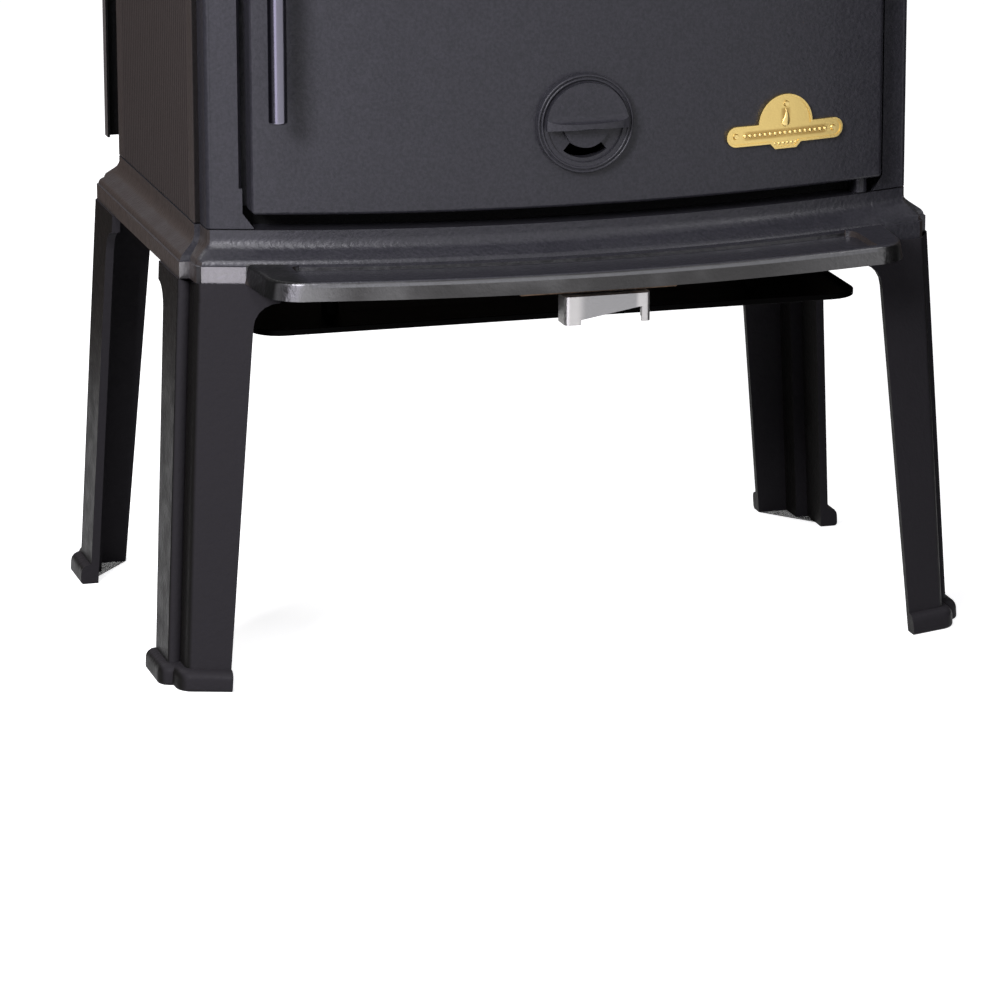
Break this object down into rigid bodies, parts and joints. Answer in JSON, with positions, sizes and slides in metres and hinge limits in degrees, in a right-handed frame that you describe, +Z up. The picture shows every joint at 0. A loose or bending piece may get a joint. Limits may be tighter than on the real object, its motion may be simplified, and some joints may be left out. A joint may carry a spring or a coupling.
{
  "type": "wood stove with hotplate",
  "caption": "Freestanding cast-iron wood stove with a bowed front door, ribbed sides, ash lip, splayed legs, a lift-out hotplate and a top flue collar.",
  "frame": {"origin": "on the floor, in the middle of the whole box round the stove", "axes": "+X to the right seen from the front, the front with the door faces -Y, +Z up"},
  "size_m": [0.6886, 0.505, 0.859],
  "materials": {
    "stove_iron": "matt stove paint over cast iron",
    "plain_steel": "plain steel",
    "shield_sheet": "matt black sheet",
    "firebrick": "dry vermiculite board",
    "stove_glass": "clear ceramic glass",
    "rope_seal": "braided glass rope",
    "handle_steel": "polished dark steel",
    "nickel": "satin nickel",
    "brass": "satin brass",
    "brown_steel": "heat-browned steel"
  },
  "bodies": {
    "stove": {"base": "stove_iron", "leg_front_left": "stove_iron", "leg_front_right": "stove_iron", "leg_rear_left": "stove_iron", "leg_rear_right": "stove_iron", "leg_bolts": "plain_steel", "bottom_heat_shield": "shield_sheet", "shield_spacers": "shield_sheet", "shield_screws": "shield_sheet", "side_panel_left": "stove_iron", "side_panel_right": "stove_iron", "front_frame": "stove_iron", "rear_plate": "stove_iron", "top_plate": "stove_iron", "flue_collar": "stove_iron", "flue_screws": "plain_steel", "rear_heat_shield": "shield_sheet", "rear_spacers": "plain_steel", "rear_screws": "plain_steel", "tie_rods": "plain_steel", "tie_nuts": "plain_steel", "ash_chamber": "stove_iron", "ash_pan": "shield_sheet", "firebox_floor": "stove_iron", "grate": "stove_iron", "firebrick_left": "firebrick", "firebrick_right": "firebrick", "firebrick_rear": "firebrick", "baffle": "stove_iron", "hinge_pin_lower": "plain_steel", "hinge_pin_upper": "plain_steel", "latch_keeper": "plain_steel", "air_slide_guide": "brown_steel"},
    "door_leaf": {"door": "stove_iron", "door_glass": "stove_glass", "glass_clips": "plain_steel", "clip_screws": "plain_steel", "door_rope": "rope_seal", "valve_housing": "stove_iron", "badge": "brass", "badge_rivets": "brass"},
    "handle": {"door_handle": "handle_steel", "latch_tongue": "plain_steel"},
    "valve": {"valve_flap": "stove_iron", "valve_nut": "plain_steel"},
    "air_control": {"air_slide": "plain_steel", "air_lever": "nickel"},
    "lid": {"hotplate": "stove_iron"}
  },
  "joints": [
    {"name": "door_swing", "type": "hinge", "parent": "stove", "child": "door_leaf", "pos_m": [0.2519, -0.13108, 0.571], "axis": [0, 0, 1], "range_deg": [0, 110]},
    {"name": "handle_turn", "type": "hinge", "parent": "door_leaf", "child": "handle", "pos_m": [-0.2505, -0.14828, 0.612], "axis": [0, -1, 0], "range_deg": [0, 50]},
    {"name": "valve_turn", "type": "hinge", "parent": "door_leaf", "child": "valve", "pos_m": [0, -0.18415, 0.4535], "axis": [0, -1, 0], "range_deg": [0, 180]},
    {"name": "air_slide_move", "type": "slide", "parent": "stove", "child": "air_control", "axis": [1, 0, 0], "range_m": [-0.025, 0.025]},
    {"name": "hotplate_lift", "type": "slide", "parent": "stove", "child": "lid", "axis": [0, 0, 1], "range_m": [0, 0.15]}
  ]
}
